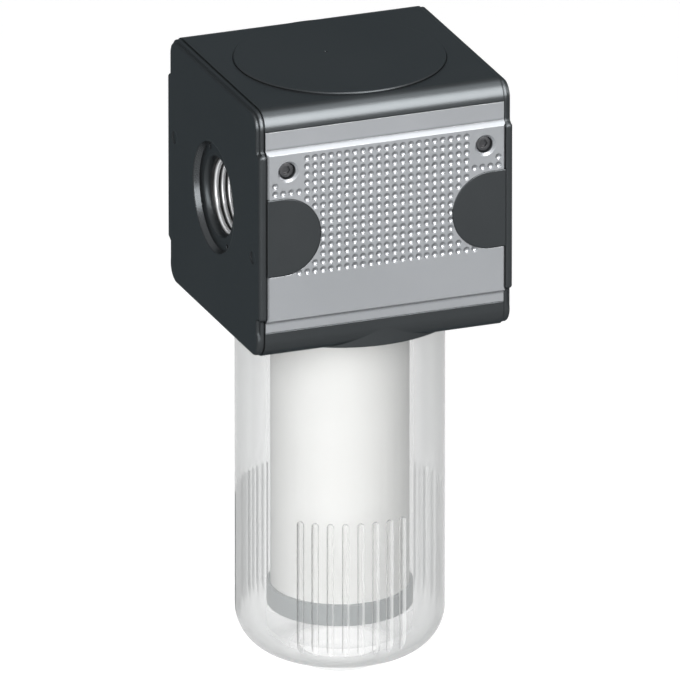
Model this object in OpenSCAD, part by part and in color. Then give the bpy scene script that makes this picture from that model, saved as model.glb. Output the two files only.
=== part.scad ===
// Vacuum filter for a suction line: a square head with a threaded port in each
// end face, and a clear screw-on bowl around a tubular filter element.
// Sizes are in millimetres. The origin lies on the port axis where the inlet
// thread starts, +X runs with the flow towards the outlet and +Z points up.

/* [Head] */
// Width of the head over both end plates
head_w = 70; // [69:0.5:78]
// Depth of the head between its front and rear edges, without the raised bands
head_d = 64.8; // [64.4:0.2:72]
// Height of the head
head_h = 68; // [66:0.5:76]
// Radius of the four long edges
edge_r = 5; // [3:0.25:5.2]
// Height of the round collar around the bowl socket
collar_h = 5; // [3:0.25:6]
// Wall of the collar
collar_wall = 3.2; // [2:0.1:4]

/* [End plates] */
// Thickness of an end plate
end_plate_t = 2; // [1.8:0.1:3.5]
// How far an end plate's outline stays inside the head's outline
end_plate_inset = 0.35; // [0.1:0.05:0.8]
// Rounding of an end plate's outer edge
end_plate_edge = 0.8; // [0.3:0.05:1.2]
// Diameter of the locating pegs on an end plate
end_peg_d = 3.4; // [2:0.1:4]
// Length of the locating pegs on an end plate
end_peg_len = 4; // [2:0.25:6]
// Distance of an end plate's pegs in front of and behind the port axis
end_peg_y = 28.4; // [27:0.1:28.8]
// Distance of an end plate's pegs above and below the port axis
end_peg_z = 6.6; // [5:0.1:8]

/* [Cover plates] */
// Wall thickness of a cover plate
plate_t = 1.5; // [1:0.1:1.8]
// How far a plate's upper edge lies above the port axis
plate_top = 28.8; // [26:0.1:28.8]
// How far a plate's lower edge lies below the port axis
plate_low = 26.4; // [25:0.1:28.8]
// How far the raised band stands proud
band_proud = 1.5; // [0.8:0.1:2]
// Height of the raised band's flat face
band_h = 45.4; // [43:0.2:46]
// Height of the sloped ledge above and below the band
ledge_h = 1; // [0.5:0.1:1.6]
// Bevel of the band's upright ends
band_bevel = 0.6; // [0.2:0.1:1]

/* [Dimples] */
// Distance from dimple to dimple along the head
dimple_pitch_x = 2.2; // [2:0.05:3]
// Distance from dimple to dimple up the head
dimple_pitch_z = 2.23; // [2:0.01:3]
// Diameter of a dimple at the surface
dimple_d = 1.75; // [1:0.05:1.9]
// Depth of a dimple
dimple_depth = 0.5; // [0.2:0.05:0.7]
// Height of the top row of dimples above the port axis
dimple_top = 21; // [19:0.1:21.3]
// Height of the lowest row of dimples below the port axis
dimple_low = 10.3; // [6:0.1:16]
// Half the length of the dimpled field
dimple_reach = 31; // [26:0.1:31.2]

/* [Plate screws] */
// Distance of a plate screw from the bowl axis, along the head
screw_x = 27.2; // [26:0.1:27.8]
// Height of a plate screw above the port axis
screw_z = 17.9; // [17:0.1:18.4]
// Diameter of a plate screw's head
screw_head_d = 4.3; // [3.6:0.1:4.6]
// Height of a plate screw's head
screw_head_h = 1.5; // [1:0.1:2]
// How deep a plate screw's head lies under the band's face
screw_sink = 1.4; // [0.8:0.1:1.8]
// Diameter of a plate screw's shank
screw_shank_d = 2.5; // [2:0.1:3]
// Length of a plate screw's shank under its head
screw_shank_len = 8; // [5:0.5:10]
// Width of the countersink's rim around a plate screw
screw_rim = 0.6; // [0.2:0.1:0.9]
// Radius of the plain ring around a plate screw
screw_clear_r = 5; // [4.5:0.1:6.5]

/* [Clamp covers] */
// Radius of a clamp cover's round side
pad_r = 10.55; // [9:0.05:11]
// Distance of the round side's centre from the block's end
pad_centre = 4.25; // [3:0.05:6]
// Diameter of the peg that holds a clamp cover
pad_peg_d = 4; // [3:0.1:5]
// Length of the peg that holds a clamp cover
pad_peg_len = 4; // [2:0.25:5]

/* [Ports] */
// Inner diameter of the port thread
port_thread_d = 18.63; // [15:0.01:19]
// Depth of the port thread's metal bush
insert_len = 12; // [9:0.25:13]
// Wall of the metal bush over the thread's inner diameter
insert_wall = 2.5; // [1.8:0.1:2.7]
// Depth of the thread, from inner to outer diameter
port_thread_h = 1.16; // [0.8:0.01:1.5]
// Depth of the round recess around a port
port_recess = 1.5; // [1:0.1:1.8]
// Diameter of the round recess around a port
port_recess_d = 29.5; // [28:0.1:32]
// Depth of the lead-in cone in front of a port thread
port_lead = 1.3; // [0.6:0.1:2]
// Diameter of the four pin holes in the recess
pin_d = 1.3; // [0.8:0.1:1.6]
// Distance of the pin holes from the port axis
pin_circle_r = 13.2; // [12.8:0.1:13.6]

/* [Passages] */
// Diameter of the passages behind the threads
passage_d = 18; // [12:0.5:18]
// Diameter of the clean-air bore down into the element
post_bore_d = 16; // [12:0.5:18]
// Outer diameter of the centre post that carries the element
post_d = 29; // [27:0.5:31]
// Distance of the centre post's foot below the port axis
post_drop = 20.5; // [19:0.25:22]

/* [Top cap] */
// Diameter of the round cap on the top face
cap_d = 55.1; // [40:0.1:58]
// How far the cap stands proud
cap_proud = 0.5; // [0.3:0.05:1.5]
// Thickness of the cap
cap_t = 3; // [2:0.25:4]
// Outer diameter of the ring under the cap
cap_ring_d = 40; // [24:0.5:48]
// Wall of the ring under the cap
cap_ring_wall = 2.5; // [1.5:0.25:4]
// Height of the ring under the cap
cap_ring_h = 4; // [2:0.25:5]

/* [Bowl] */
// Outer diameter of the bowl
bowl_d = 54.7; // [50:0.1:56]
// Distance of the bowl's floor outside, below the port axis
bowl_drop = 128.6; // [120:0.5:180]
// Wall of the bowl's upper, plain part
bowl_wall = 4.55; // [3:0.05:5]
// Wall of the bowl's lower, grooved part
grip_wall = 5.75; // [4:0.05:6]
// Thickness of the bowl's floor
bowl_floor = 4.5; // [3:0.1:6]
// Outer radius of the bowl's bottom edge
bowl_corner_r = 11.5; // [8:0.25:14]
// Inner radius of the bowl's bottom edge
bowl_inner_r = 7; // [4:0.25:9]
// Distance below the port axis at which the wall starts to thicken
taper_drop = 75.3; // [60:0.5:80]
// Height of the stretch in which the wall thickens
taper_h = 6.4; // [3:0.2:12]
// Diameter of the boss under the bowl
boss_d = 21; // [12:0.5:26]
// Height of the boss under the bowl
boss_h = 4.2; // [1:0.1:6]
// Rounding of the boss's lower edge
boss_edge = 1.2; // [0.4:0.1:2]

/* [Grip grooves] */
// Groups of grip grooves around the bowl
groove_groups = 3; // [2:1:4]
// Grooves in one group
groove_count = 8; // [4:1:10]
// Angle from groove to groove
groove_step = 8.46; // [7:0.02:9]
// Width of a groove
groove_w = 1.9; // [1.2:0.1:2.6]
// Depth of a groove
groove_depth = 1.2; // [0.6:0.05:1.3]
// Distance of the grooves' upper ends below the port axis
groove_drop = 85; // [82:0.5:100]
// Angle of the front group's middle, from the front towards the inlet
groove_turn = 13.5; // [0:0.5:60]

/* [Bowl neck] */
// How far the neck's stop ring stands out over the bowl
neck_step = 1.65; // [1:0.05:1.8]
// Distance of the neck's rim below the port axis
rim_drop = 16; // [15:0.25:17]
// Height of the sealing land above the neck's thread
land_h = 5; // [4:0.1:6]
// Length of the neck's thread, with the stop ring under it
neck_thread_len = 10; // [8:0.25:10.5]
// Height of the stop ring under the neck's thread
stop_h = 2; // [1:0.1:3]
// Thickness of the sealing ring's cord
seal_cord = 2.1; // [1.6:0.1:2.4]
// How far the thread's root and the sealing land stay inside the stop ring
land_step = 1.1; // [0.8:0.05:1.4]

/* [Filter element] */
// Outer diameter of the filter element
element_d = 36.2; // [32:0.1:37]
// Wall of the filter element
element_wall = 4.6; // [2:0.1:7]
// Distance of the grey end cap's upper edge below the port axis
end_cap_drop = 110.8; // [100:0.1:112]
// Height of the grey end cap
end_cap_h = 5.7; // [4.5:0.1:6]
// Outer diameter of the grey end cap
end_cap_d = 38.2; // [37.6:0.1:40]
// Depth of the seat that holds the element in its end cap
end_cap_seat = 3; // [1.5:0.1:3.2]
// Thickness of the upper end cap
upper_cap_t = 3; // [2:0.1:4]
// Thickness of the gasket over the upper end cap
gasket_t = 1.5; // [1:0.1:2]

/* [Tie rod] */
// Diameter of the tie rod
rod_d = 5; // [4:0.1:6]
// Length of the tie rod's grip in the housing
rod_grip = 10; // [6:0.5:11]
// Width of the rod nut across its corners
nut_d = 11; // [9:0.1:12]
// Height of the rod nut
nut_h = 4; // [3:0.1:4.4]
// Thickness of the washer between nut and end cap
washer_t = 0.8; // [0.4:0.1:1.2]
// Wall of the hub around the rod nut
hub_wall = 2; // [1:0.1:3]

/* [Fits] */
// Gap between round pieces that fit into each other
seat_gap = 0.05; // [0.02:0.01:0.1]
// Gap around the cover plates and the clamp covers
cover_gap = 0.12; // [0.05:0.01:0.3]
// Gap around the neck's stop ring
thread_gap = 0.2; // [0.1:0.05:0.35]
// Free depth beyond a peg, a screw or a spigot
end_gap = 0.3; // [0.1:0.05:0.6]

/* [Hidden] */
$fn = 64;
eps = 0.01;

anthracite = "#34373a";
silver = "#a9adb0";
bright_steel = "#c9ccce";
clear = [0.86, 0.9, 0.9, 0.45];
white = "#f2f2ee";
grey = "#9a9da0";
black = "#1b1c1e";

block_w = head_w - 2 * end_plate_t;
half_d = head_d / 2;
half_h = head_h / 2;
core_half_d = half_d - plate_t;
band_y = half_d + band_proud;

recess_r = port_recess_d / 2;
thread_r = port_thread_d / 2;
insert_r = thread_r + insert_wall;
lip_r = thread_r + port_thread_h + seat_gap;
port_face_x = head_w / 2 - port_recess;
port_x = port_face_x - port_lead;
insert_end_x = port_x - insert_len;

bowl_r = bowl_d / 2;
neck_r = bowl_r + neck_step;
land_r = neck_r - land_step;
socket_r = neck_r + thread_gap;
land_bore_r = land_r + thread_gap;
collar_r = socket_r + collar_wall;
bowl_in_r = bowl_r - bowl_wall;
grip_in_r = bowl_r - grip_wall;
corner_z = bowl_corner_r - bowl_drop;
bowl_bottom_z = -bowl_drop - boss_h;
seal_z = -rim_drop - land_h / 2;
seal_r = land_bore_r - seat_gap - seal_cord / 2;
groove_floor_r = seal_r - seal_cord / 2 - seat_gap;
seal_groove_h = seal_cord + 4 * seat_gap;
socket_top_z = -rim_drop - land_h + end_gap;
land_top_z = -rim_drop + end_gap;

chamber_r = bowl_in_r + 1.2;
chamber_top_z = -insert_r - 2;
post_r = post_d / 2;
post_bore_r = post_bore_d / 2;
passage_r = passage_d / 2;
inlet_end_x = post_bore_r + 5;

element_r = element_d / 2;
element_in_r = element_r - element_wall;
gasket_z = -post_drop - gasket_t;
upper_cap_z = gasket_z - upper_cap_t;
element_low_z = -end_cap_drop - end_cap_seat;
end_cap_low_z = -end_cap_drop - end_cap_h;
nut_pocket_r = nut_d / 2 + end_gap;
nut_low_z = end_cap_low_z + end_gap;
washer_z = nut_low_z + nut_h;
hub_top_z = washer_z + washer_t + hub_wall;
rod_top_z = passage_r + rod_grip;

boss_r = screw_head_d / 2 + screw_rim + 1.4;
boss_back_y = band_y - screw_sink - screw_head_h - 1.2;

// Moves what is drawn around the port axis and the bowl axis into the part's frame
module placed() {
    translate([port_x, 0, 0]) children();
}

// Runs a section, drawn as depth and height, along the port axis from x to x + len
module along_x(x, len) {
    translate([x, 0, 0]) rotate([90, 0, 90]) linear_extrude(len) children();
}

// Runs a shape, drawn as seen from the front, from depth y backwards to y + len
module from_front(y, len) {
    translate([0, y + len, 0]) rotate([90, 0, 0]) linear_extrude(len) children();
}

// Puts a shape at the left and at the right of the bowl axis
module both_sides() {
    children();
    mirror([1, 0]) children();
}

// Turns what is drawn at the left or the front to the right or the rear
module turned() {
    rotate([0, 0, 180]) children();
}

// Puts a solid at the front and, turned half round, at the rear
module front_and_rear() {
    children();
    turned() children();
}

// Ring with a rectangular section from height z to z + h
module ring(inner_r, outer_r, z, h) {
    translate([0, 0, z]) difference() {
        cylinder(r = outer_r, h = h);
        translate([0, 0, -eps]) cylinder(r = inner_r, h = h + 2 * eps);
    }
}

// Rectangle with four round corners, centred
module soft_rect(d, h, r) {
    square([d, h - 2 * r], center = true);
    square([d - 2 * r, h], center = true);
    for (y = [-1, 1], z = [-1, 1])
        translate([y * (d / 2 - r), z * (h / 2 - r)]) circle(r);
}

// Section of the raised bands, front and rear in one, standing proud of half_depth
module band_section(half_depth, half_height) {
    out = half_depth + band_proud;
    foot = half_height + ledge_h;
    polygon([[-out, -half_height], [-out, half_height], [-half_depth, foot], [half_depth, foot],
             [out, half_height], [out, -half_height], [half_depth, -foot], [-half_depth, -foot]]);
}

// Outline of the head seen along the port axis
module head_section() {
    soft_rect(head_d, head_h, edge_r);
    band_section(half_d, band_h / 2);
}

// Space that a cover plate takes in the front of that outline
module plate_window(gap) {
    translate([-band_y - eps, -plate_low + gap])
        square([band_proud + plate_t + eps, plate_top + plate_low - 2 * gap]);
}

// Section of the block behind the cover plates
module core_section() {
    difference() {
        soft_rect(head_d, head_h, edge_r);
        plate_window(0);
        mirror([1, 0]) plate_window(0);
    }
    band_section(core_half_d, band_h / 2 - plate_t);
}

// Section of the front cover plate
module plate_section() {
    difference() {
        intersection() {
            head_section();
            plate_window(cover_gap);
        }
        band_section(core_half_d, band_h / 2 - plate_t);
    }
}

// Half-round outline of the left clamp cover, seen from the front
module pad_outline(gap) {
    centre_x = -block_w / 2 + pad_centre;
    translate([centre_x, 0]) circle(pad_r + gap);
    translate([-block_w / 2 - gap, -pad_r - gap]) square([pad_centre + gap, 2 * (pad_r + gap)]);
}

// Ball that leaves a dimple at x and z in the front face
module dimple(x, z) {
    ball_r = (pow(dimple_d / 2, 2) + pow(dimple_depth, 2)) / (2 * dimple_depth);
    translate([x, -band_y - ball_r + dimple_depth, z]) sphere(ball_r, $fn = 24);
}

// True where a dimple lies clear of the screws' plain rings and shows beside the clamp covers
function dimple_shows(x, z) =
    let (from_pad = norm([max(block_w / 2 - pad_centre - abs(x), 0), z]),
         from_screw = norm([abs(x) - screw_x, z - screw_z]))
    from_pad > pad_r + cover_gap + dimple_d / 4 && from_screw > screw_clear_r;

module dimples() {
    columns = floor(dimple_reach / dimple_pitch_x);
    for (i = [-columns:columns], z = [dimple_top:-dimple_pitch_z:-dimple_low])
        if (dimple_shows(i * dimple_pitch_x, z)) dimple(i * dimple_pitch_x, z);
}

module cover_plate() {
    plate_w = block_w - 2 * cover_gap;
    difference() {
        union() {
            along_x(-plate_w / 2, plate_w) plate_section();
            from_front(-core_half_d - band_proud, core_half_d + band_proud - boss_back_y)
                both_sides() translate([screw_x, screw_z]) circle(boss_r);
        }
        from_front(-band_y - eps, band_y) both_sides() pad_outline(cover_gap);
        for (side = [-1, 1]) {
            translate([side * screw_x, 0, screw_z]) rotate([90, 0, 0]) {
                cylinder(r = screw_shank_d / 2 + end_gap, h = band_y + 1);
                translate([0, 0, band_y - screw_sink - screw_head_h])
                    cylinder(r = screw_head_d / 2 + cover_gap, h = screw_sink + screw_head_h + 1);
                translate([0, 0, band_y - screw_rim])
                    cylinder(r1 = screw_head_d / 2 + cover_gap, r2 = screw_head_d / 2 + screw_rim + cover_gap,
                             h = screw_rim + eps);
            }
            translate([side * plate_w / 2, -band_y, 0]) rotate([0, 0, 45])
                cube([band_bevel * sqrt(2), band_bevel * sqrt(2), band_h + 3], center = true);
        }
        dimples();
    }
}

module plate_screw(side) {
    head_y = band_y - screw_sink - screw_head_h;
    translate([side * screw_x, 0, screw_z]) rotate([90, 0, 0]) difference() {
        union() {
            translate([0, 0, head_y]) cylinder(r = screw_head_d / 2, h = screw_head_h);
            translate([0, 0, head_y - screw_shank_len]) cylinder(r = screw_shank_d / 2, h = screw_shank_len + eps);
        }
        translate([0, 0, head_y + screw_head_h / 2])
            cylinder(r = screw_head_d / 4, h = screw_head_h, $fn = 6);
    }
}

// Clamp cover at the front, on the left or, mirrored, on the right
module clamp_cover(side) {
    scale([-side, 1, 1]) {
        from_front(-band_y, band_y - core_half_d) intersection() {
            pad_outline(0);
            translate([-block_w / 2 + cover_gap, -pad_r]) square([block_w / 2, 2 * pad_r]);
        }
        translate([-block_w / 2 + pad_centre, -core_half_d - eps, 0]) rotate([-90, 0, 0])
            cylinder(r = pad_peg_d / 2, h = pad_peg_len + eps);
    }
}

// Slab with a section like soft_rect and a rounded rim on its outer, left side
module soft_slab(d, h, r, t, edge) {
    along_x(-t + edge, t - edge) soft_rect(d, h, r);
    along_x(-t, t) soft_rect(d - 2 * edge, h - 2 * edge, r - edge);
    translate([-t + edge, 0, 0]) {
        for (side = [-1, 1]) {
            translate([0, 0, side * (h / 2 - edge)]) rotate([90, 0, 0])
                cylinder(r = edge, h = d - 2 * r, center = true);
            translate([0, side * (d / 2 - edge), 0])
                cylinder(r = edge, h = h - 2 * r, center = true);
        }
        for (y = [-1, 1], z = [-1, 1])
            translate([0, y * (d / 2 - r), z * (h / 2 - r)]) rotate([0, 90, 0])
                rotate_extrude() translate([r - edge, 0]) circle(edge);
    }
}

// The bands' share of an end plate, with the same rounded rim
module band_slab(t, edge) {
    out_y = band_y - end_plate_inset;
    half = band_h / 2 - end_plate_inset;
    foot_y = half_d - end_plate_inset;
    along_x(-t + edge, t - edge) band_section(foot_y, half);
    along_x(-t, t) band_section(foot_y - edge, half - edge / 2);
    for (side = [-1, 1])
        translate([-t + edge, side * (out_y - edge), 0]) {
            cylinder(r = edge, h = 2 * half - edge, center = true);
            for (z = [-1, 1]) translate([0, 0, z * (half - edge / 2)]) sphere(edge);
        }
}

// Left end plate
module end_plate() {
    block_end = -block_w / 2;
    difference() {
        translate([block_end, 0, 0]) {
            soft_slab(head_d - 2 * end_plate_inset, head_h - 2 * end_plate_inset,
                      edge_r - end_plate_inset, end_plate_t, end_plate_edge);
            band_slab(end_plate_t, end_plate_edge);
        }
        translate([-head_w, 0, 0]) rotate([0, 90, 0]) cylinder(r = recess_r, h = head_w);
        for (side = [-1, 1])
            translate([-head_w / 2, side * end_peg_y, side * end_peg_z]) rotate([0, 90, 0])
                cylinder(r = end_peg_d / 2, h = 0.5, center = true);
    }
    for (side = [-1, 1])
        translate([block_end - eps, side * end_peg_y, side * end_peg_z]) rotate([0, 90, 0])
            cylinder(r = end_peg_d / 2, h = end_peg_len + eps);
}

// Left port's metal bush, with two grooves that key it into the housing
module port_insert() {
    translate([-port_x, 0, 0]) rotate([0, 90, 0]) difference() {
        cylinder(r = insert_r, h = insert_len);
        translate([0, 0, -eps]) cylinder(r = thread_r, h = insert_len + 2 * eps);
        for (z = [0.3, 0.7]) ring(insert_r - 0.6, insert_r + 1, insert_len * z - 0.75, 1.5);
    }
}

// Space of one port, drawn at the left end: lead-in, bush and passage
module port_cavity(passage_end) {
    translate([-port_face_x - eps, 0, 0]) rotate([0, 90, 0])
        cylinder(r1 = lip_r + port_lead, r2 = lip_r, h = port_lead + 2 * eps);
    translate([-port_x, 0, 0]) rotate([0, 90, 0]) {
        cylinder(r = insert_r + seat_gap, h = insert_len);
        cylinder(r = passage_r, h = port_x - passage_end);
    }
    for (turn = [0:90:270])
        rotate([turn - 27.5, 0, 0]) translate([-port_face_x - eps, pin_circle_r, 0]) rotate([0, 90, 0])
            cylinder(r = pin_d / 2, h = 2);
}

// Socket, sealing bore and chamber around the centre post
module bowl_socket() {
    difference() {
        union() {
            translate([0, 0, -half_h - eps]) {
                cylinder(r1 = socket_r + 1, r2 = socket_r, h = 1);
                cylinder(r = socket_r, h = half_h + socket_top_z);
                cylinder(r = land_bore_r, h = half_h + land_top_z);
                cylinder(r = chamber_r, h = half_h + chamber_top_z);
            }
        }
        translate([0, 0, -post_drop]) cylinder(r = post_r, h = post_drop);
    }
}

// Opening from the inlet passage down into the chamber
module inlet_window() {
    intersection() {
        ring(post_r, insert_end_x + eps, chamber_top_z - 1, -chamber_top_z + 1);
        translate([-chamber_r, -passage_r + 1, chamber_top_z - 1])
            cube([chamber_r, 2 * passage_r - 2, -chamber_top_z + 1]);
    }
}

// Seats of one clamp cover, one pair of plate screws and their plate's bosses, at the front
module front_seats() {
    from_front(-band_y, band_y - core_half_d) both_sides() pad_outline(cover_gap);
    for (side = [-1, 1]) {
        translate([side * (block_w / 2 - pad_centre), -core_half_d - eps, 0]) rotate([-90, 0, 0])
            cylinder(r = pad_peg_d / 2 + seat_gap, h = pad_peg_len + end_gap);
        translate([side * screw_x, -band_y, screw_z]) rotate([-90, 0, 0]) {
            cylinder(r = boss_r + cover_gap, h = band_y - boss_back_y);
            cylinder(r = screw_shank_d / 2 + seat_gap,
                     h = screw_sink + screw_head_h + screw_shank_len + end_gap);
        }
    }
}

// Pocket for the top cap and its ring
module cap_pocket() {
    translate([0, 0, half_h + cap_proud - cap_t]) cylinder(r = cap_d / 2 + cover_gap, h = cap_t);
    ring(cap_ring_d / 2 - cap_ring_wall - seat_gap, cap_ring_d / 2 + seat_gap,
         half_h + cap_proud - cap_t - cap_ring_h - end_gap, cap_ring_h + end_gap + eps);
}

module housing() {
    color(anthracite) placed() difference() {
        union() {
            along_x(-block_w / 2, block_w) core_section();
            intersection() {
                translate([0, 0, -half_h]) cylinder(r = collar_r, h = collar_h);
                cube([block_w, 3 * collar_r, 3 * half_h], center = true);
            }
            rotate([0, 90, 0]) cylinder(r = recess_r - cover_gap, h = 2 * port_face_x, center = true);
        }
        bowl_socket();
        port_cavity(inlet_end_x);
        turned() port_cavity(-post_bore_r);
        inlet_window();
        translate([0, 0, -post_drop - eps]) cylinder(r = post_bore_r, h = post_drop);
        cylinder(r = rod_d / 2 + seat_gap, h = rod_top_z + end_gap);
        cap_pocket();
        front_and_rear() front_seats();
        front_and_rear() for (side = [-1, 1])
            translate([-block_w / 2 - eps, side * end_peg_y, side * end_peg_z]) rotate([0, 90, 0])
                cylinder(r = end_peg_d / 2 + seat_gap, h = end_peg_len + end_gap);
    }
}

module top_cap() {
    top_z = half_h + cap_proud;
    color(anthracite) placed() difference() {
        union() {
            translate([0, 0, top_z - cap_t]) cylinder(r = cap_d / 2, h = cap_t - cap_proud / 2);
            translate([0, 0, top_z - cap_proud / 2])
                cylinder(r1 = cap_d / 2, r2 = cap_d / 2 - cap_proud / 2, h = cap_proud / 2);
            ring(cap_ring_d / 2 - cap_ring_wall, cap_ring_d / 2,
                 top_z - cap_t - cap_ring_h, cap_ring_h + eps);
        }
        translate([-2.5, 3.7, top_z - 0.2]) cylinder(r = 0.5, h = 1);
    }
}

module element_gasket() {
    color(black) placed() ring(post_bore_r, post_r - seat_gap, gasket_z, gasket_t);
}

module upper_end_cap() {
    color(white) placed() ring(post_bore_r, element_r, upper_cap_z, upper_cap_t);
}

module filter_element() {
    color(white) placed() ring(element_in_r, element_r, element_low_z, upper_cap_z - element_low_z);
}

module lower_end_cap() {
    color(grey) placed() difference() {
        union() {
            translate([0, 0, end_cap_low_z]) cylinder(r = end_cap_d / 2, h = end_cap_h);
            translate([0, 0, end_cap_low_z]) cylinder(r = nut_pocket_r + hub_wall, h = hub_top_z - end_cap_low_z);
        }
        difference() {
            translate([0, 0, element_low_z]) cylinder(r = element_r + seat_gap, h = end_cap_h);
            translate([0, 0, element_low_z - eps]) cylinder(r = nut_pocket_r + hub_wall, h = 2 * end_cap_h);
        }
        translate([0, 0, end_cap_low_z - eps]) {
            cylinder(r = nut_pocket_r, h = washer_z + washer_t - end_cap_low_z + eps);
            cylinder(r = rod_d / 2 + seat_gap, h = 4 * end_cap_h);
        }
    }
}

module tie_rod() {
    color(bright_steel) placed()
        translate([0, 0, nut_low_z]) cylinder(r = rod_d / 2, h = rod_top_z - nut_low_z);
}

module rod_seal() {
    color(black) placed() ring(rod_d / 2 + seat_gap, nut_d / 2 - 0.5, washer_z, washer_t);
}

module rod_nut() {
    color(bright_steel) placed() difference() {
        translate([0, 0, nut_low_z]) cylinder(r = nut_d / 2, h = nut_h, $fn = 6);
        translate([0, 0, nut_low_z - eps]) cylinder(r = rod_d / 2 + seat_gap, h = nut_h + 2 * eps);
    }
}

module bowl_seal() {
    color(black) placed()
        translate([0, 0, seal_z]) rotate_extrude() translate([seal_r, 0]) circle(seal_cord / 2);
}

// Round-bottomed solid of radius r down to depth drop, its bottom edge rounded by edge
module round_pot(r, drop, edge, top_z) {
    translate([0, 0, edge - drop]) cylinder(r = r, h = top_z + drop - edge);
    translate([0, 0, -drop]) cylinder(r = r - edge, h = edge + eps);
    translate([0, 0, edge - drop]) rotate_extrude() translate([r - edge, 0]) circle(edge);
}

module grip_groove() {
    groove_r = groove_w / 2;
    axis_y = -bowl_r - groove_r + groove_depth;
    translate([0, axis_y, -groove_drop - groove_r]) {
        sphere(groove_r);
        translate([0, 0, -bowl_drop]) cylinder(r = groove_r, h = bowl_drop);
    }
}

module bowl() {
    shoulder_z = -rim_drop - land_h - neck_thread_len;
    taper_z = -taper_drop - taper_h;
    first = -(groove_count - 1) / 2 * groove_step;
    color(clear) placed() difference() {
        union() {
            round_pot(bowl_r, bowl_drop, bowl_corner_r, shoulder_z);
            translate([0, 0, shoulder_z - neck_step])
                cylinder(r1 = bowl_r, r2 = neck_r, h = neck_step);
            translate([0, 0, shoulder_z]) cylinder(r = neck_r, h = stop_h);
            translate([0, 0, shoulder_z]) cylinder(r = land_r, h = neck_thread_len + land_h);
            round_pot(boss_d / 2, bowl_drop + boss_h, boss_edge, -bowl_drop + eps);
        }
        round_pot(grip_in_r, bowl_drop - bowl_floor, bowl_inner_r, 0);
        translate([0, 0, taper_z]) cylinder(r1 = grip_in_r, r2 = bowl_in_r, h = taper_h + eps);
        translate([0, 0, -taper_drop]) cylinder(r = bowl_in_r, h = taper_drop);
        ring(groove_floor_r, neck_r + 1, seal_z - seal_groove_h / 2, seal_groove_h);
        for (group = [0:groove_groups - 1], i = [0:groove_count - 1])
            rotate([0, 0, -groove_turn + group * 360 / groove_groups + first + i * groove_step])
                grip_groove();
    }
}

module left_end_plate() { color(anthracite) placed() end_plate(); }
module right_end_plate() { color(anthracite) placed() turned() end_plate(); }
module front_plate() { color(silver) placed() cover_plate(); }
module rear_plate() { color(silver) placed() turned() cover_plate(); }
module front_left_screw() { color(black) placed() plate_screw(-1); }
module front_right_screw() { color(black) placed() plate_screw(1); }
module rear_left_screw() { color(black) placed() turned() plate_screw(1); }
module rear_right_screw() { color(black) placed() turned() plate_screw(-1); }
module front_left_clamp_cover() { color(anthracite) placed() clamp_cover(-1); }
module front_right_clamp_cover() { color(anthracite) placed() clamp_cover(1); }
module rear_left_clamp_cover() { color(anthracite) placed() turned() clamp_cover(1); }
module rear_right_clamp_cover() { color(anthracite) placed() turned() clamp_cover(-1); }
module inlet_insert() { color(bright_steel) placed() port_insert(); }
module outlet_insert() { color(bright_steel) placed() turned() port_insert(); }

housing();
left_end_plate();
right_end_plate();
front_plate();
rear_plate();
front_left_screw();
front_right_screw();
rear_left_screw();
rear_right_screw();
front_left_clamp_cover();
front_right_clamp_cover();
rear_left_clamp_cover();
rear_right_clamp_cover();
top_cap();
inlet_insert();
outlet_insert();
element_gasket();
upper_end_cap();
filter_element();
lower_end_cap();
tie_rod();
rod_seal();
rod_nut();
bowl_seal();
bowl();
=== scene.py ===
import math

import bmesh
import bpy
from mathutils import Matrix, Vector


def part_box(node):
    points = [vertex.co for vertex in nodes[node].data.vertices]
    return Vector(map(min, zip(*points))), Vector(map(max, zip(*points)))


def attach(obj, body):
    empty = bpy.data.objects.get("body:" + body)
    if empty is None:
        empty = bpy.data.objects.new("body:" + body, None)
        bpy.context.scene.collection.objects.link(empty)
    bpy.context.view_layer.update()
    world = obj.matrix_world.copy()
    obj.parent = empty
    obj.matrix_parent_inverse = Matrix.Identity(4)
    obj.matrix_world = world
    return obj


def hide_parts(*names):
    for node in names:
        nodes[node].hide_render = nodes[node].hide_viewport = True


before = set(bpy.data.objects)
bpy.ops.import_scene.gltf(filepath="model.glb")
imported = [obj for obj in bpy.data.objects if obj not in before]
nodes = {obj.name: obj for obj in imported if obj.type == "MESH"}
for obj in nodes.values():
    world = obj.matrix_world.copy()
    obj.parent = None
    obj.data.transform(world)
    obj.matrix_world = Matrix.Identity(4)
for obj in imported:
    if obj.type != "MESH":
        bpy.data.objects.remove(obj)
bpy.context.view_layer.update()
mm = 0.001
print("vacuum filter: frame loaded,", len(nodes), "nodes")


def newObject(name, data):
    made = bpy.data.objects.new(name, data)
    bpy.context.scene.collection.objects.link(made)
    return made


def shadeSmooth(mesh, sharpFrom=35.0):   # degrees between two faces
    mesh.shade_smooth()
    mesh.set_sharp_from_angle(angle=math.radians(sharpFrom))


shot = {
    "azimuth": -21.0,       # degrees round the filter, negative towards the inlet
    "elevation": 21.0,
    "lens": 1500.0,         # mm, long because the photograph has no perspective
    "sensor": 36.0,         # mm
    "widthShown": 175.94,   # mm across the frame at the filter
    "aimRight": 0.05,       # mm from the middle of the head to the middle of the frame
    "aimDown": 41.32,
    "clip": (0.5, 60.0),    # m
}


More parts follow.
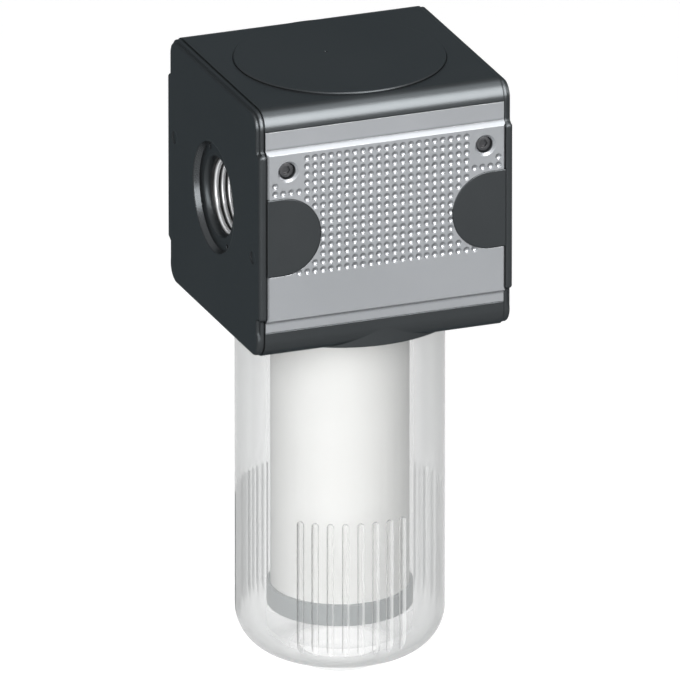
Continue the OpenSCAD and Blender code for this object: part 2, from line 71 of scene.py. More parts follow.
def placeCamera(shot, centre):
    turn, rise = math.radians(shot["azimuth"]), math.radians(shot["elevation"])
    back = Vector((math.sin(turn) * math.cos(rise), -math.cos(turn) * math.cos(rise),
                   math.sin(rise)))
    right = Vector((math.cos(turn), math.sin(turn), 0))
    up = back.cross(right)
    aim = centre + (right * shot["aimRight"] - up * shot["aimDown"]) * mm
    distance = shot["widthShown"] * mm / 2 / (shot["sensor"] / 2 / shot["lens"])
    camera = newObject("camera", bpy.data.cameras.new("camera"))
    camera.data.sensor_width = shot["sensor"]
    camera.data.lens = shot["lens"]
    camera.data.clip_start, camera.data.clip_end = shot["clip"]
    camera.location = aim + back * distance
    camera.rotation_mode = "QUATERNION"
    camera.rotation_quaternion = (-back).to_track_quat("-Z", "Y")
    bpy.context.scene.camera = camera


cadLow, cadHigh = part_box("housing")
headCentre = Vector(((cadLow.x + cadHigh.x) / 2, 0, 0))   # port axis meets bowl axis here
placeCamera(shot, headCentre)
print("camera placed")


class Wire:   # a socket of a node tree, with plain arithmetic on it
    def __init__(self, graph, socket):
        self.graph, self.socket = graph, socket

    def maths(self, operation, *values, clamp=False):
        return self.graph.add("ShaderNodeMath", {"operation": operation, "use_clamp": clamp},
                              dict(enumerate(values)))

    def __add__(self, other): return self.maths("ADD", self, other)
    def __radd__(self, other): return self.maths("ADD", other, self)
    def __sub__(self, other): return self.maths("SUBTRACT", self, other)
    def __rsub__(self, other): return self.maths("SUBTRACT", other, self)
    def __mul__(self, other): return self.maths("MULTIPLY", self, other)
    def __rmul__(self, other): return self.maths("MULTIPLY", other, self)
    def __truediv__(self, other): return self.maths("DIVIDE", self, other)
    def __rtruediv__(self, other): return self.maths("DIVIDE", other, self)
    def __pow__(self, other): return self.maths("POWER", self, other)
    def __rpow__(self, other): return self.maths("POWER", other, self)
    def __gt__(self, other): return self.maths("GREATER_THAN", self, other)
    def __lt__(self, other): return self.maths("LESS_THAN", self, other)
    def __neg__(self): return self.maths("MULTIPLY", self, -1.0)
    def __abs__(self): return self.maths("ABSOLUTE", self)
    def larger(self, other): return self.maths("MAXIMUM", self, other)
    def smaller(self, other): return self.maths("MINIMUM", self, other)

    def share(self, factor):   # product with the factor, held between 0 and 1
        return self.maths("MULTIPLY", self, factor, clamp=True)


class Graph:   # a node tree that is filled with add()
    def __init__(self, tree):
        self.tree = tree

    def add(self, kind, settings=None, inputs=None, output=0):
        node = self.tree.nodes.new(kind)
        for key, value in (settings or {}).items():
            setattr(node, key, value)
        self.feed(node, inputs)
        return Wire(self, node.outputs[output]) if node.outputs else None

    def feed(self, node, inputs):   # a list links several shapes to one socket
        for key, value in (inputs or {}).items():
            if isinstance(value, (Wire, list)):
                for wire in value if isinstance(value, list) else [value]:
                    self.tree.links.new(wire.socket, node.inputs[key])
            else:
                node.inputs[key].default_value = value

    def vector(self, x=0.0, y=0.0, z=0.0):
        return self.add("ShaderNodeCombineXYZ", {}, {0: x, 1: y, 2: z})

    def parts(self, vector, axes="XYZ"):
        return [self.add("ShaderNodeSeparateXYZ", {}, {0: vector}, axis) for axis in axes]


def uneven(value, *changes):   # each change is a pattern and how much it changes the value
    for pattern, amount in changes:
        value = value + (pattern - 0.5) * amount
    return value


class Finish(Graph):   # a material; its surface is the Principled shader
    def __init__(self, name):
        self.material = bpy.data.materials.new(name)
        self.material.use_nodes = True
        super().__init__(self.material.node_tree)
        self.surface = self.tree.nodes["Principled BSDF"]
        self.place = self.add("ShaderNodeTexCoord", output="Object")

    def noise(self, scale, detail=2.0, rough=0.5):
        return self.add("ShaderNodeTexNoise", {}, {"Vector": self.place, "Scale": scale,
                                                   "Detail": detail, "Roughness": rough}, "Fac")

    def blendColours(self, factor, first, second):   # a colour is (r, g, b) or a Wire
        first, second = (colour if isinstance(colour, Wire) else (*colour, 1)
                         for colour in (first, second))
        return self.add("ShaderNodeMix", {"data_type": "RGBA"},
                        {0: factor, 6: first, 7: second}, 2)

    def softEdges(self, radius):   # rounds sharp edges in the shading alone
        return self.add("ShaderNodeBevel", {"samples": 6}, {"Radius": radius * mm}, "Normal")

    # colours darkened by this value below are painted shade
    def openness(self, reach):   # 1 on open ground, less in a corner or a groove
        return self.add("ShaderNodeAmbientOcclusion", {"samples": 6},
                        {"Distance": reach * mm}, "AO")

    def relief(self, height, depth, normal=None):
        inputs = {"Height": height, "Distance": depth * mm, "Strength": 1.0}
        if normal:
            inputs["Normal"] = normal
        return self.add("ShaderNodeBump", {}, inputs, "Normal")

    def finish(self, inputs):
        self.feed(self.surface, inputs)
        return self.material


class Maker(Graph):   # a Geometry Nodes tree with named inputs
    weldDistance = 0.000001   # m

    def __init__(self, name, sizes):
        super().__init__(bpy.data.node_groups.new(name, "GeometryNodeTree"))
        self.sizes = sizes
        for key, value in sizes.items():
            kind = "NodeSocketInt" if isinstance(value, int) else "NodeSocketFloat"
            self.tree.interface.new_socket(key, in_out="INPUT", socket_type=kind)
        self.tree.interface.new_socket("Mesh", in_out="OUTPUT",
                                       socket_type="NodeSocketGeometry")

    def size(self, key):
        return self.add("NodeGroupInput", output=key)

    def moved(self, shape, place=None, turn=None):
        inputs = {"Geometry": shape}
        if place is not None:
            inputs["Translation"] = place
        if turn is not None:
            inputs["Rotation"] = turn
        return self.add("GeometryNodeTransform", {}, inputs)

    def rounded(self, curve, radius, steps):
        return self.add("GeometryNodeFilletCurve", {"mode": "POLY"}, {
            "Curve": curve, "Count": steps, "Radius": radius, "Limit Radius": True})

    def turned(self, section, radius, steps):   # section carried round a circle
        circle = self.add("GeometryNodeCurvePrimitiveCircle", {},
                          {"Resolution": steps, "Radius": radius})
        return self.add("GeometryNodeCurveToMesh", {},
                        {"Curve": circle, "Profile Curve": section})

    def rectangle(self, width, height):
        return self.add("GeometryNodeCurvePrimitiveQuadrilateral", {"mode": "RECTANGLE"},
                        {"Width": width, "Height": height})

    def cylinder(self, radius, depth, steps):
        return self.add("GeometryNodeMeshCylinder", {},
                        {"Vertices": steps, "Radius": radius, "Depth": depth})

    def union(self, *shapes):
        return self.add("GeometryNodeMeshBoolean", {"operation": "UNION", "solver": "EXACT"},
                        {"Mesh 2": list(shapes)})

    def cut(self, shape, tool):
        return self.add("GeometryNodeMeshBoolean", {"operation": "DIFFERENCE", "solver": "EXACT"},
                        {"Mesh 1": shape, "Mesh 2": tool})

    def joined(self, *shapes):
        return self.add("GeometryNodeJoinGeometry", {}, {0: list(reversed(shapes))})

    def build(self, name, shape, material):
        whole = self.add("GeometryNodeRealizeInstances", {}, {"Geometry": shape})
        whole = self.add("GeometryNodeMergeByDistance", {},
                         {"Geometry": whole, "Distance": self.weldDistance})
        whole = self.add("GeometryNodeSetMaterial", {}, {"Geometry": whole, "Material": material})
        self.add("NodeGroupOutput", {}, {0: whole})
        holder = newObject(name + "Maker", bpy.data.meshes.new(name + "Maker"))
        nodesOn = holder.modifiers.new("maker", "NODES")
        nodesOn.node_group = self.tree
        for item in self.tree.interface.items_tree:
            if item.in_out == "INPUT":
                nodesOn[item.identifier] = self.sizes[item.name]
        seen = holder.evaluated_get(bpy.context.evaluated_depsgraph_get())
        mesh = bpy.data.meshes.new_from_object(seen)
        mesh.name = name
        bpy.data.objects.remove(holder)
        shadeSmooth(mesh)
        return newObject(name, mesh)


darkLook = {
    "colour": (0.038, 0.042, 0.0445),
    "paler": (0.044, 0.048, 0.0505),
    "cloudScale": 28.0,
    "metallic": 0.75,
    "grazing": (0.42, 0.44, 0.45),
    "roughness": 0.33,
    "cloudRough": 0.05,     # how much the cloud changes the roughness
    "grainScale": 2600.0,
    "grainRough": 0.06,
    "grain": 0.012,         # mm, height of the moulded grain
    "edge": 0.45,           # mm, soft edges
}

darkKinds = {               # what differs from darkLook
    "darkMoulded": {},
    "darkPlate": {"edge": 0.9},
    "darkCap": {"edge": 0.12},
    "darkLip": {"edge": 0.08, "roughness": 0.38},
    # a paler copy of the dark finish, painted to brighten the highlight on the port recess's
    # slanted wall
    "darkRecess": {"edge": 0.08, "roughness": 0.28,
                   "colour": (0.055, 0.059, 0.062), "paler": (0.062, 0.066, 0.069)},
}


def darkMoulded(name, look):
    finish = Finish(name)
    cloud = finish.noise(look["cloudScale"], 3.0)
    grain = finish.noise(look["grainScale"], 2.0, 0.6)
    return finish.finish({
        "Base Color": finish.blendColours(cloud, look["colour"], look["paler"]),
        "Metallic": look["metallic"],
        "Specular IOR Level": 0.0,
        "Specular Tint": (*look["grazing"], 1),
        "Roughness": uneven(look["roughness"], (cloud, look["cloudRough"]),
                            (grain, look["grainRough"])),
        "Normal": finish.relief(grain, look["grain"], finish.softEdges(look["edge"])),
    })


silverLook = {
    "colour": (0.272, 0.285, 0.299),
    "paler": (0.296, 0.308, 0.324),
    # painted shade that the dimples and the screw holes take
    "paintedCreviceShade": (0.05, 0.054, 0.058),
    "reach": 0.9,           # mm, how far round itself a dent is darkened with painted shade
    "depth": 4.5,           # how strongly
    "cloudScale": 40.0,
    "metallic": 0.55,
    "roughness": 0.34,
    "cloudRough": 0.06,
    "fleckScale": 3800.0,
    "fleckRough": 0.05,
    "fleck": 0.006,         # mm, height
    "edge": 0.08,           # mm
}


def silverPlate(look):
    finish = Finish("silverPlate")
    cloud = finish.noise(look["cloudScale"], 3.0)
    fleck = finish.noise(look["fleckScale"], 1.0)
    colour = finish.blendColours(cloud, look["colour"], look["paler"])
    # painted shade: the colour darkens into the dimples as ambient occlusion falls
    paintedLight = finish.openness(look["reach"]) ** look["depth"]
    return finish.finish({
        "Base Color": finish.blendColours(paintedLight, look["paintedCreviceShade"], colour),
        "Metallic": look["metallic"],
        "Roughness": uneven(look["roughness"], (cloud, look["cloudRough"]),
                            (fleck, look["fleckRough"])),
        "Normal": finish.relief(fleck, look["fleck"], finish.softEdges(look["edge"])),
    })


brightLook = {
    "colour": (0.80, 0.81, 0.82),
    "worn": (0.72, 0.73, 0.74),
    # painted shade in the thread's grooves and other crevices
    "paintedCreviceShade": (0.03, 0.03, 0.03),
    "reach": 2.5,           # mm, how far round itself a crevice is darkened with painted shade
    "depth": 1.5,           # how strongly
    "cloudScale": 60.0,
    "metallic": 0.6,
    "roughness": 0.28,
    "markScale": 1600.0,
    "markRough": 0.08,
    "mark": 0.004,          # mm, height of the turning marks
    "edge": 0.08,           # mm
    "rootRadius": 10.48,    # mm, of a port's thread
    "rootShade": 0.32,      # mm over a thread's root that stay dark, painted shade
}


def brightMetal(name, look, threaded=False):
    finish = Finish(name)
    cloud = finish.noise(look["cloudScale"], 3.0)
    marks = finish.add("ShaderNodeTexWave", {"wave_type": "BANDS", "bands_direction": "X"},
                       {"Vector": finish.place, "Scale": look["markScale"], "Distortion": 1.5,
                        "Detail": 2.0}, "Fac")
    colour = finish.blendColours(cloud, look["colour"], look["worn"])
    # painted shade in crevices and, on a thread, over its roots
    paintedLight = finish.openness(look["reach"]) ** look["depth"]
    if threaded:
        y, z = finish.parts(finish.place, "YZ")
        fromRoot = abs((y ** 2.0 + z ** 2.0) ** 0.5 - look["rootRadius"] * mm)
        paintedLight = paintedLight * (fromRoot / (look["rootShade"] * mm)).smaller(1.0)
    return finish.finish({
        "Base Color": finish.blendColours(paintedLight, look["paintedCreviceShade"], colour),
        "Metallic": look["metallic"],
        "Roughness": uneven(look["roughness"], (marks, look["markRough"])),
        "Normal": finish.relief(marks, look["mark"], finish.softEdges(look["edge"])),
    })


screwLook = {
    "colour": (0.020, 0.021, 0.024),
    "worn": (0.040, 0.042, 0.046),
    "metallic": 0.3,
    "roughness": 0.42,
    "wearScale": 900.0,
    "wearRough": 0.2,
    "wear": 0.006,          # mm, height
    "edge": 0.12,           # mm
}


def blackScrew(look):
    finish = Finish("blackScrew")
    wear = finish.noise(look["wearScale"], 3.0)
    return finish.finish({
        "Base Color": finish.blendColours(wear, look["colour"], look["worn"]),
        "Metallic": look["metallic"],
        "Roughness": uneven(look["roughness"], (wear, look["wearRough"])),
        "Normal": finish.relief(wear, look["wear"], finish.softEdges(look["edge"])),
    })


rubberLook = {
    "colour": (0.012, 0.012, 0.013),
    "dusty": (0.026, 0.026, 0.027),
    "roughness": 0.55,
    "dustScale": 1400.0,
    "dustRough": 0.2,
    "dust": 0.01,           # mm, height
}


def sealRubber(look):
    finish = Finish("sealRubber")
    dust = finish.noise(look["dustScale"])
    return finish.finish({
        "Base Color": finish.blendColours(dust, look["colour"], look["dusty"]),
        "Roughness": uneven(look["roughness"], (dust, look["dustRough"])),
        "Normal": finish.relief(dust, look["dust"]),
    })


porousLook = {
    "colour": (0.90, 0.90, 0.885),
    # the darker tone: taken at random through the cloud, and as painted shade between the grains
    "shade": (0.82, 0.82, 0.805),
    "cloudScale": 55.0,
    "roughness": 0.75,
    "poreScale": 2400.0,
    "poreShade": 0.25,      # share of the darker tone in the colour between two grains, painted shade in the pores
    "poreRough": 0.15,
    "pores": 0.02,          # mm, depth
}


def porousWhite(look):
    finish = Finish("porousWhite")
    grains = finish.add("ShaderNodeTexVoronoi", {"feature": "F1"},
                        {"Vector": finish.place, "Scale": look["poreScale"]}, "Distance")
    cloud = finish.noise(look["cloudScale"], 3.0)
    colour = finish.blendColours(cloud, look["shade"], look["colour"])
    return finish.finish({
        # painted shade: darker between the grains, where the relief sinks into pores
        "Base Color": finish.blendColours(grains * look["poreShade"], colour, look["shade"]),
        "Roughness": uneven(look["roughness"], (grains, look["poreRough"])),
        "Normal": finish.relief(1.0 - grains, look["pores"]),
    })


capLook = {
    "colour": (0.36, 0.38, 0.385),
    "paler": (0.40, 0.42, 0.425),
    "cloudScale": 80.0,
    "roughness": 0.45,
    "grainScale": 2600.0,
    "grainRough": 0.08,
    "grain": 0.008,         # mm, height
    "edge": 0.25,           # mm
}


def capGrey(look):
    finish = Finish("capGrey")
    cloud = finish.noise(look["cloudScale"], 3.0)
    grain = finish.noise(look["grainScale"])
    return finish.finish({
        "Base Color": finish.blendColours(cloud, look["colour"], look["paler"]),
        "Roughness": uneven(look["roughness"], (grain, look["grainRough"])),
        "Normal": finish.relief(grain, look["grain"], finish.softEdges(look["edge"])),
    })


bowlLook = {
    "colour": (0.765, 0.785, 0.785),
    "paler": (0.805, 0.82, 0.82),
    "hazeScale": 45.0,
    "hazeRough": 0.06,
    # painted shade in the grooves
    "paintedCreviceShade": (0.30, 0.31, 0.31),
    "reach": 1.2,           # mm, how far round itself a groove is darkened with painted shade
    "paintedShadeSide": (0.22, 0.23, 0.23),        # painted shade on the side of a groove that faces one way round the bowl
    "dimCover": 0.75,       # how much of what lies behind that side is hidden
    "dimPower": 2.0,
    "paintedHighlightSide": (0.97, 0.975, 0.975),      # painted highlight on the side that faces the other way
    "litCover": 0.6,
    "flat": 0.05,           # share of an outer face that hides what lies behind, seen square on
    "rim": 0.85,            # the same at the outline
    "innerFlat": 0.02,      # the same two for the inner wall and under the floor
    "innerRim": 0.22,
    "innerPower": 3.0,
    "roughness": 0.15,
    "refraction": 1.58,
    "flowScale": 160.0,
    "flow": 0.01,           # mm, height of the moulding's flow
    "edge": 0.3,            # mm, soft edges
    "radius": 27.35,        # mm, the bowl's outer shape
    "foot": -128.6,
    "corner": 11.5,
    "halfWall": 2.0,
    "clearFoot": 9.0,       # mm round the axis where the foot is as clear as the inner wall
    "footFade": 7.0,        # mm beyond them until it looks as the outside does
    "bossSide": 0.45,       # how much of that look an upright face keeps there
}


def clearBowl(look, axisX):
    finish = Finish("clearBowl")
    facing = finish.add("ShaderNodeLayerWeight", {}, {"Blend": 0.5}, "Facing")
    haze = finish.noise(look["hazeScale"], 3.0)
    flow = finish.noise(look["flowScale"])
    normal = finish.add("ShaderNodeTexCoord", output="Normal")
    x, y, z = finish.parts(finish.place)
    x = x - axisX
    across = (x ** 2.0 + y ** 2.0) ** 0.5
    # outer is 1 in the outer half of the wall and less in the middle of the foot
    sideways = (across - (look["radius"] - look["corner"]) * mm).larger(0.0)
    down = ((look["foot"] + look["corner"]) * mm - z).larger(0.0)
    fromCorner = (sideways ** 2.0 + down ** 2.0) ** 0.5
    outer = fromCorner > (look["corner"] - look["halfWall"]) * mm
    fromFoot = (across - look["clearFoot"] * mm).share(1.0 / (look["footFade"] * mm))
    upright = 1.0 - abs(finish.parts(normal, "Z")[0])
    outer = outer * fromFoot.larger(upright * look["bossSide"])
    outerCover = look["flat"] + (look["rim"] - look["flat"]) * facing
    innerCover = look["innerFlat"] + ((look["innerRim"] - look["innerFlat"])
                                      * facing ** look["innerPower"])
    cover = innerCover + (outerCover - innerCover) * outer
    # a groove's sides face along the bowl's round: one takes painted shade, the other a painted
    # highlight
    around = finish.vector(-y / across, x / across)
    lean = finish.add("ShaderNodeVectorMath", {"operation": "DOT_PRODUCT"},
                      {0: normal, 1: around}, "Value")
    paintedShadeSide = lean.larger(0.0) ** look["dimPower"]
    paintedHighlightSide = (-lean).larger(0.0)
    colour = finish.blendColours(haze, look["colour"], look["paler"])
    # painted shade: darker into the grooves
    colour = finish.blendColours(finish.openness(look["reach"]), look["paintedCreviceShade"], colour)
    colour = finish.blendColours(paintedHighlightSide, colour, look["paintedHighlightSide"])
    return finish.finish({
        "Base Color": finish.blendColours(paintedShadeSide, colour, look["paintedShadeSide"]),
        "Roughness": uneven(look["roughness"], (haze, look["hazeRough"])),
        "Alpha": cover.larger(paintedShadeSide * look["dimCover"] + paintedHighlightSide * look["litCover"]),
        "IOR": look["refraction"],
        "Normal": finish.relief(flow, look["flow"], finish.softEdges(look["edge"])),
    })


dark, plateDark, capDark, lipDark, recessPaintedSheen = (
    darkMoulded(name, {**darkLook, **change}) for name, change in darkKinds.items())
silver = silverPlate(silverLook)
bright = brightMetal("brightMetal", brightLook)
brightThread = brightMetal("brightThread", brightLook, threaded=True)
black = blackScrew(screwLook)
rubber = sealRubber(rubberLook)
white = porousWhite(porousLook)
grey = capGrey(capLook)
clear = clearBowl(bowlLook, headCentre.x)

finishOf = {
    "front_plate": silver, "rear_plate": silver,
    "tie_rod": bright, "rod_nut": bright, "inlet_insert": bright, "outlet_insert": bright,
    "element_gasket": rubber, "rod_seal": rubber, "bowl_seal": rubber,
    "filter_element": white, "upper_end_cap": grey, "lower_end_cap": grey,
    "bowl": clear, "top_cap": capDark, "left_end_plate": plateDark, "right_end_plate": plateDark,
}
for name, node in nodes.items():
    finish = black if name.endswith("_screw") else finishOf.get(name, dark)
    node.data.materials.clear()
    node.data.materials.append(finish)
print("finishes on", len(nodes), "CAD nodes")


ridgeShape = {
    "stepsPerTurn": 72,
    "fadesPerTurn": 3.0,    # 3 means that the ridge grows to its height in a third of a turn
    "crestRounding": 0.4,   # share of the crest's width
    "roundingSteps": 2,
}

bushSizes = {               # G 1/2 thread, mm
    "Major Radius": 10.4775,
    "Minor Radius": 9.3155,
    "Pitch": 1.8143,
    "Length": 12.0,
    "Turns": 5.5,
    "Root Share": 0.98,     # width of the ridge's root and crest, as shares of the pitch
    "Crest Share": 0.5,
    "Root Overlap": 0.04,   # of the ridge with the wall
    "Plain Mouth": 0.45,    # from the mouth to the thread's first turn
    "Outer Radius": 11.815,
    "Rim Rounding": 0.2,
    "Rim Steps": 2,
    "Round Steps": 96,
}


def threadRidge(maker, rootRadius, height, rise, turns, rootWidth, crestWidth, inwards):
    # ridge of a right-handed thread round Z, swept up a helix and faded out at both ends
    helix = maker.add("GeometryNodeCurveSpiral", {}, {
        "Resolution": ridgeShape["stepsPerTurn"], "Rotations": turns, "Start Radius": rootRadius,
        "End Radius": rootRadius, "Height": rise, "Reverse": True})
    helix = maker.add("GeometryNodeSetCurveNormal", {"mode": "Z_UP"}, {"Curve": helix})
    along = maker.add("GeometryNodeSplineParameter", output="Factor")
    fade = along.smaller(1.0 - along).share(turns * ridgeShape["fadesPerTurn"])
    section = maker.add("GeometryNodeCurvePrimitiveQuadrilateral", {"mode": "TRAPEZOID"}, {
        "Height": height, "Bottom Width": rootWidth, "Top Width": crestWidth, "Offset": 0.0})
    section = maker.moved(section, maker.vector(0.0, height * 0.5, 0.0))
    section = maker.rounded(section, crestWidth * ridgeShape["crestRounding"],
                            ridgeShape["roundingSteps"])
    quarter = math.pi / 2 if inwards else -math.pi / 2
    section = maker.moved(section, turn=maker.vector(0.0, 0.0, quarter))
    return maker.add("GeometryNodeCurveToMesh", {}, {
        "Curve": helix, "Profile Curve": section, "Scale": fade, "Fill Caps": True})


def portBush(name, sizes, mouth, outwards):
    # threaded metal bush; its mouth is at x = mouth and opens towards outwards (-1 or 1)
    maker = Maker(name + "Tree", sizes)
    major, minor = maker.size("Major Radius") * mm, maker.size("Minor Radius") * mm
    pitch, length = maker.size("Pitch") * mm, maker.size("Length") * mm
    outer = maker.size("Outer Radius") * mm
    wall = maker.rounded(maker.rectangle(outer - major, length),
                         maker.size("Rim Rounding") * mm, maker.size("Rim Steps"))
    bush = maker.turned(wall, (major + outer) * 0.5, maker.size("Round Steps"))
    turns = maker.size("Turns")
    rise = turns * pitch
    ridge = threadRidge(maker, major + maker.size("Root Overlap") * mm, major - minor, rise, turns,
                        pitch * maker.size("Root Share"), pitch * maker.size("Crest Share"), True)
    foot = length * 0.5 - rise - maker.size("Plain Mouth") * mm
    ridge = maker.moved(ridge, maker.vector(0.0, 0.0, foot), maker.vector(0.0, 0.0, math.pi))
    whole = maker.moved(maker.joined(bush, ridge),
                        maker.vector(mouth - outwards * length * 0.5, 0.0, 0.0),
                        maker.vector(0.0, outwards * math.pi / 2, 0.0))
    return maker.build(name, whole, brightThread)


trimSizes = {               # mm, dark rings of a port
    "recessRadius": 14.74,
    "recessFoot": 14.04,    # the recess narrows to this radius at its floor
    "recessDepth": 1.5,
    "wallStart": 0.1,       # the slanted wall starts this deep and this far in
    "wallInset": 0.03,
    "wallBack": 0.25,
    "lipRadius": 10.62,     # mouth in front of the metal thread
    "lipOuter": 11.8,
    "chamferWidth": 0.25,
    "chamferDepth": 0.2,
    "sleeveRadius": 10.3,   # dark plain part in front of the thread's first turn
    "sleeveDepth": 0.5,
    "sleeveStep": 0.1,
    "proud": 0.02,          # over the faces that the lip lies on
}


def turnedRing(shape, outline, outwards, steps=96):
    # closed outline of (distance from the end face, radius), turned round the port axis
    rings = []
    for step in range(steps):
        turn = 2 * math.pi * step / steps
        rings.append([shape.verts.new((-outwards * depth * mm, radius * mm * math.cos(turn),
                                       radius * mm * math.sin(turn))) for depth, radius in outline])
    for step, ring in enumerate(rings):
        following = rings[(step + 1) % steps]
        for i in range(len(outline)):
            j = (i + 1) % len(outline)
            shape.faces.new((ring[i], ring[j], following[j], following[i]))


def portTrim(name, sizes, endFace, mouth, outwards):
    shape = bmesh.new()
    wide, floor = sizes["recessRadius"], sizes["recessDepth"]
    turnedRing(shape, [(sizes["wallBack"], wide), (sizes["wallStart"], wide - sizes["wallInset"]),
                       (floor, sizes["recessFoot"]), (floor, wide)], outwards)
    recessFaces = len(shape.faces)
    thread = abs(mouth - endFace) / mm
    top, under = floor - sizes["proud"], thread - sizes["proud"]
    lip, outer = sizes["lipRadius"], sizes["lipOuter"]
    sleeve, inner = sizes["sleeveRadius"], thread + sizes["sleeveDepth"]
    turnedRing(shape, [(top, lip + sizes["chamferWidth"]), (floor + sizes["chamferDepth"], lip),
                       (thread, sleeve), (inner, sleeve), (inner, lip - sizes["sleeveStep"]),
                       (under, lip), (under, outer), (top, outer)], outwards)
    bmesh.ops.recalc_face_normals(shape, faces=shape.faces)
    bmesh.ops.translate(shape, verts=shape.verts, vec=(endFace, 0, 0))
    mesh = bpy.data.meshes.new(name)
    shape.to_mesh(mesh)
    shape.free()
    mesh.materials.append(lipDark)
    mesh.materials.append(recessPaintedSheen)
    # the recess's faces take the paler finish with the painted highlight
    for face in mesh.polygons[:recessFaces]:
        face.material_index = 1
    shadeSmooth(mesh)
    return newObject(name, mesh)


inletMouth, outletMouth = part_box("inlet_insert")[0].x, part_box("outlet_insert")[1].x
plateLow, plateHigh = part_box("left_end_plate")[0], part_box("right_end_plate")[1]
for name, cadNode, mouth, endFace, outwards in (
        ("inletBush", "inlet_insert", inletMouth, plateLow.x, -1),
        ("outletBush", "outlet_insert", outletMouth, plateHigh.x, 1)):
    bush = portBush(name, bushSizes, mouth, outwards)
    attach(bush, "head")
    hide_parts(cadNode)
    trim = portTrim(name.replace("Bush", "Trim"), trimSizes, endFace, mouth, outwards)
    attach(trim, "head")
    print(name, len(bush.data.polygons), "faces")


bowlThread = {              # mm
    "Neck Root Radius": 27.88,
    "Neck Crest Radius": 28.95,
    "Socket Root Radius": 29.25,
    "Socket Crest Radius": 28.2,
    "Pitch": 4.0,
    "Rise": 6.0,
    "Foot": -28.0,          # height of the ridges' lower ends
    "Root Width": 2.5,
    "Crest Width": 1.0,
}


def threadPiece(name, sizes, inside, material):
    maker = Maker(name + "Tree", sizes)
    part = "Socket" if inside else "Neck"
    root = maker.size(part + " Root Radius") * mm
    crest = maker.size(part + " Crest Radius") * mm
    pitch, rise = maker.size("Pitch") * mm, maker.size("Rise") * mm
    ridge = threadRidge(maker, root, root - crest if inside else crest - root, rise, rise / pitch,
                        maker.size("Root Width") * mm, maker.size("Crest Width") * mm, inside)
    halfTurn = math.pi if inside else 0.0     # the two ridges lie half a pitch apart
    whole = maker.moved(ridge, maker.vector(headCentre.x, 0.0, maker.size("Foot") * mm),
                        maker.vector(0.0, 0.0, halfTurn))
    return maker.build(name, whole, material)


neckThread = threadPiece("neckThread", bowlThread, False, clear)
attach(neckThread, "bowl")
socketThread = threadPiece("socketThread", bowlThread, True, dark)
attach(socketThread, "head")
print("bowl thread made")


screwSizes = {              # mm
    "Head Radius": 2.13,
    "Head Height": 1.5,
    "Head Steps": 40,
    "Rounding": 0.35,
    "Rounding Steps": 3,
    "Core Inset": 0.87,     # the core that closes the head, in shares of the head's height
    "Core Height": 0.35,
    "Core Depth": 0.72,
    "Core Steps": 30,
    "Socket Width": 2.3,    # across the hexagon's corners
    "Socket Depth": 0.9,
    "Shank Radius": 1.25,
    "Shank Length": 8.0,
    "Shank Steps": 20,
}


def plateScrews(name, sizes, screwNodes):
    # four cap screws, each with a rounded rim and a hexagon socket, facing out of the plates
    boxes = [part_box(node) for node in screwNodes]
    middles = [(low + high) / 2 for low, high in boxes]
    face = max(high.y for low, high in boxes)
    spacing = max(m.x for m in middles) - min(m.x for m in middles)
    height = middles[0].z
    maker = Maker(name + "Tree", {**sizes, "Spacing": spacing / mm, "Face": face / mm,
                                  "Height": height / mm})
    radius, tall = maker.size("Head Radius") * mm, maker.size("Head Height") * mm
    # head: a square section with rounded corners turned round the axis, its hole closed by a core
    section = maker.rounded(maker.rectangle(tall, tall), maker.size("Rounding") * mm,
                            maker.size("Rounding Steps"))
    ring = maker.turned(section, radius - tall * 0.5, maker.size("Head Steps"))
    ring = maker.moved(ring, maker.vector(0.0, 0.0, tall * -0.5))
    core = maker.cylinder(radius - tall * maker.size("Core Inset"),
                          tall * maker.size("Core Height"), maker.size("Core Steps"))
    core = maker.moved(core, maker.vector(0.0, 0.0, -(tall * maker.size("Core Depth"))))
    hexagon = maker.cylinder(maker.size("Socket Width") * (0.5 * mm),
                             maker.size("Socket Depth") * mm * 2.0, 6)
    head = maker.cut(maker.union(ring, core), hexagon)
    shankLength = maker.size("Shank Length") * mm
    shank = maker.cylinder(maker.size("Shank Radius") * mm, shankLength, maker.size("Shank Steps"))
    shank = maker.moved(shank, maker.vector(0.0, 0.0, -(tall + shankLength * 0.5)))
    screw = maker.joined(head, shank)
    # one on each corner of a rectangle, its face turned to the nearer plate
    corners = maker.add("GeometryNodeMeshGrid", {}, {
        "Size X": maker.size("Spacing") * mm, "Size Y": maker.size("Face") * (2.0 * mm),
        "Vertices X": 2, "Vertices Y": 2})
    depth = maker.parts(maker.add("GeometryNodeInputPosition"), "Y")[0]
    lean = (depth < 0.0) * math.pi - math.pi / 2
    placed = maker.add("GeometryNodeInstanceOnPoints", {}, {
        "Points": corners, "Instance": screw, "Rotation": maker.vector(lean, 0.0, 0.0)})
    whole = maker.moved(placed, maker.vector(headCentre.x, 0.0, maker.size("Height") * mm))
    return maker.build(name, whole, black)


screwNodes = [name for name in nodes if name.endswith("_screw")]
screws = plateScrews("plateScrews", screwSizes, screwNodes)
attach(screws, "head")
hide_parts(*screwNodes)
print("plate screws made", len(screws.data.polygons), "faces")


studio = {
    "floorHeight": -178.0,  # mm, under the hanging filter
    "floorSize": 24.0,      # m
    "floorColour": (0.30, 0.30, 0.30),
    "floorShown": (0.5, 0.5, 0.5),    # colour and glow of the floor where it is seen
    "floorGlow": 0.68,
    "ambient": 0.34,
    "keyPower": 13.4,       # W
    "keySize": (0.5, 0.9),  # m
    "keyDistance": 1.2,
    "keyDirection": (-0.47, -0.80, 0.26),
    "topPower": 8.0,
    "topSize": (0.8, 0.8),
    "topDistance": 1.5,
    "topDirection": (0.33, -0.06, 0.94),
    "stripPower": 68.0,     # wide softbox that only reflections show
    "stripSize": (0.85, 1.15),
    "stripDistance": 1.2,
    "stripDirection": (0.16, -0.76, 0.56),
    "stripColour": (1.0, 0.97, 0.955),
}


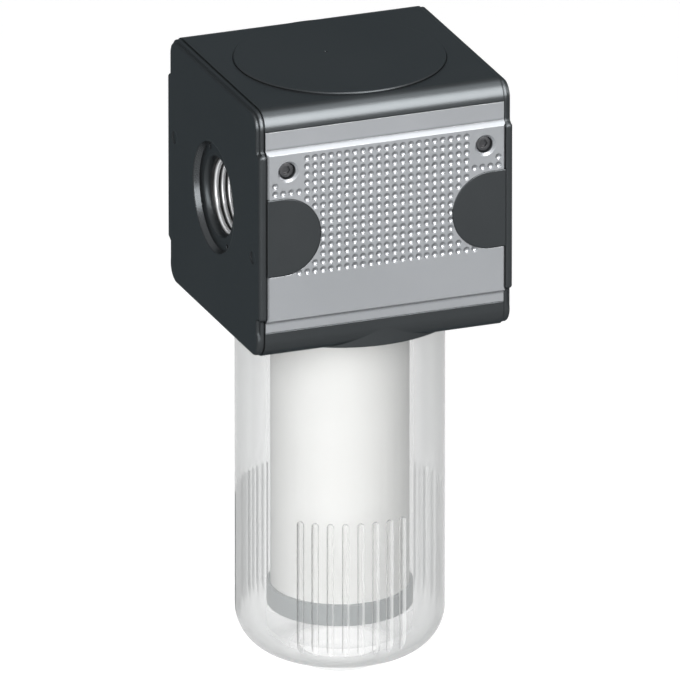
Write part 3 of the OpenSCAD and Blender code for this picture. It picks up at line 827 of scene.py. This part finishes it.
def seenRays(graph):   # 1 for what the camera, a reflection or clear plastic shows
    camera, glossy, through = (graph.add("ShaderNodeLightPath", output=key) for key in (
        "Is Camera Ray", "Is Glossy Ray", "Is Transmission Ray"))
    return camera.larger(glossy).larger(through)


def makeFloor(studio):
    half, z = studio["floorSize"] / 2, studio["floorHeight"] * mm
    mesh = bpy.data.meshes.new("floor")
    mesh.from_pydata([(-half, -half, z), (half, -half, z), (half, half, z), (-half, half, z)], [],
                     [(0, 1, 2, 3)])
    floor = newObject("floor", mesh)
    finish = Finish("paleFloor")
    finish.tree.nodes.remove(finish.surface)
    plain = finish.add("ShaderNodeBsdfDiffuse", {}, {"Color": (*studio["floorColour"], 1)})
    shown = finish.add("ShaderNodeBsdfDiffuse", {}, {"Color": (*studio["floorShown"], 1)})
    glow = finish.add("ShaderNodeEmission", {}, {"Color": (1, 1, 1, 1),
                                                 "Strength": studio["floorGlow"]})
    white = finish.add("ShaderNodeAddShader", {}, {0: shown, 1: glow})
    top = finish.add("ShaderNodeMixShader", {}, {0: seenRays(finish), 1: plain, 2: white})
    under = finish.add("ShaderNodeBsdfTransparent")
    behind = finish.add("ShaderNodeNewGeometry", output="Backfacing")
    both = finish.add("ShaderNodeMixShader", {}, {0: behind, 1: top, 2: under})
    finish.feed(finish.tree.nodes["Material Output"], {"Surface": both})
    mesh.materials.append(finish.material)


def makeWorld(studio):
    world = bpy.data.worlds.new("studio")
    bpy.context.scene.world = world
    world.use_nodes = True
    graph = Graph(world.node_tree)
    strength = seenRays(graph) * (1.0 - studio["ambient"]) + studio["ambient"]
    graph.feed(world.node_tree.nodes["Background"], {"Color": (1, 1, 1, 1), "Strength": strength})


def makeLamp(name, studio, inDiffuse=True):
    data = bpy.data.lights.new(name, "AREA")
    data.shape = "RECTANGLE"
    data.size, data.size_y = studio[name + "Size"]
    data.energy = studio[name + "Power"]
    data.color = studio.get(name + "Colour", (1.0, 1.0, 1.0))
    lamp = newObject(name, data)
    towards = Vector(studio[name + "Direction"]).normalized()
    lamp.location = headCentre + towards * studio[name + "Distance"]
    lamp.rotation_mode = "QUATERNION"
    lamp.rotation_quaternion = towards.to_track_quat("Z", "Y")
    lamp.visible_diffuse = inDiffuse


makeFloor(studio)
makeWorld(studio)
makeLamp("key", studio)
makeLamp("top", studio)
makeLamp("strip", studio, inDiffuse=False)
bpy.context.scene.view_settings.view_transform = "Standard"
print("floor, world and lamps ready")
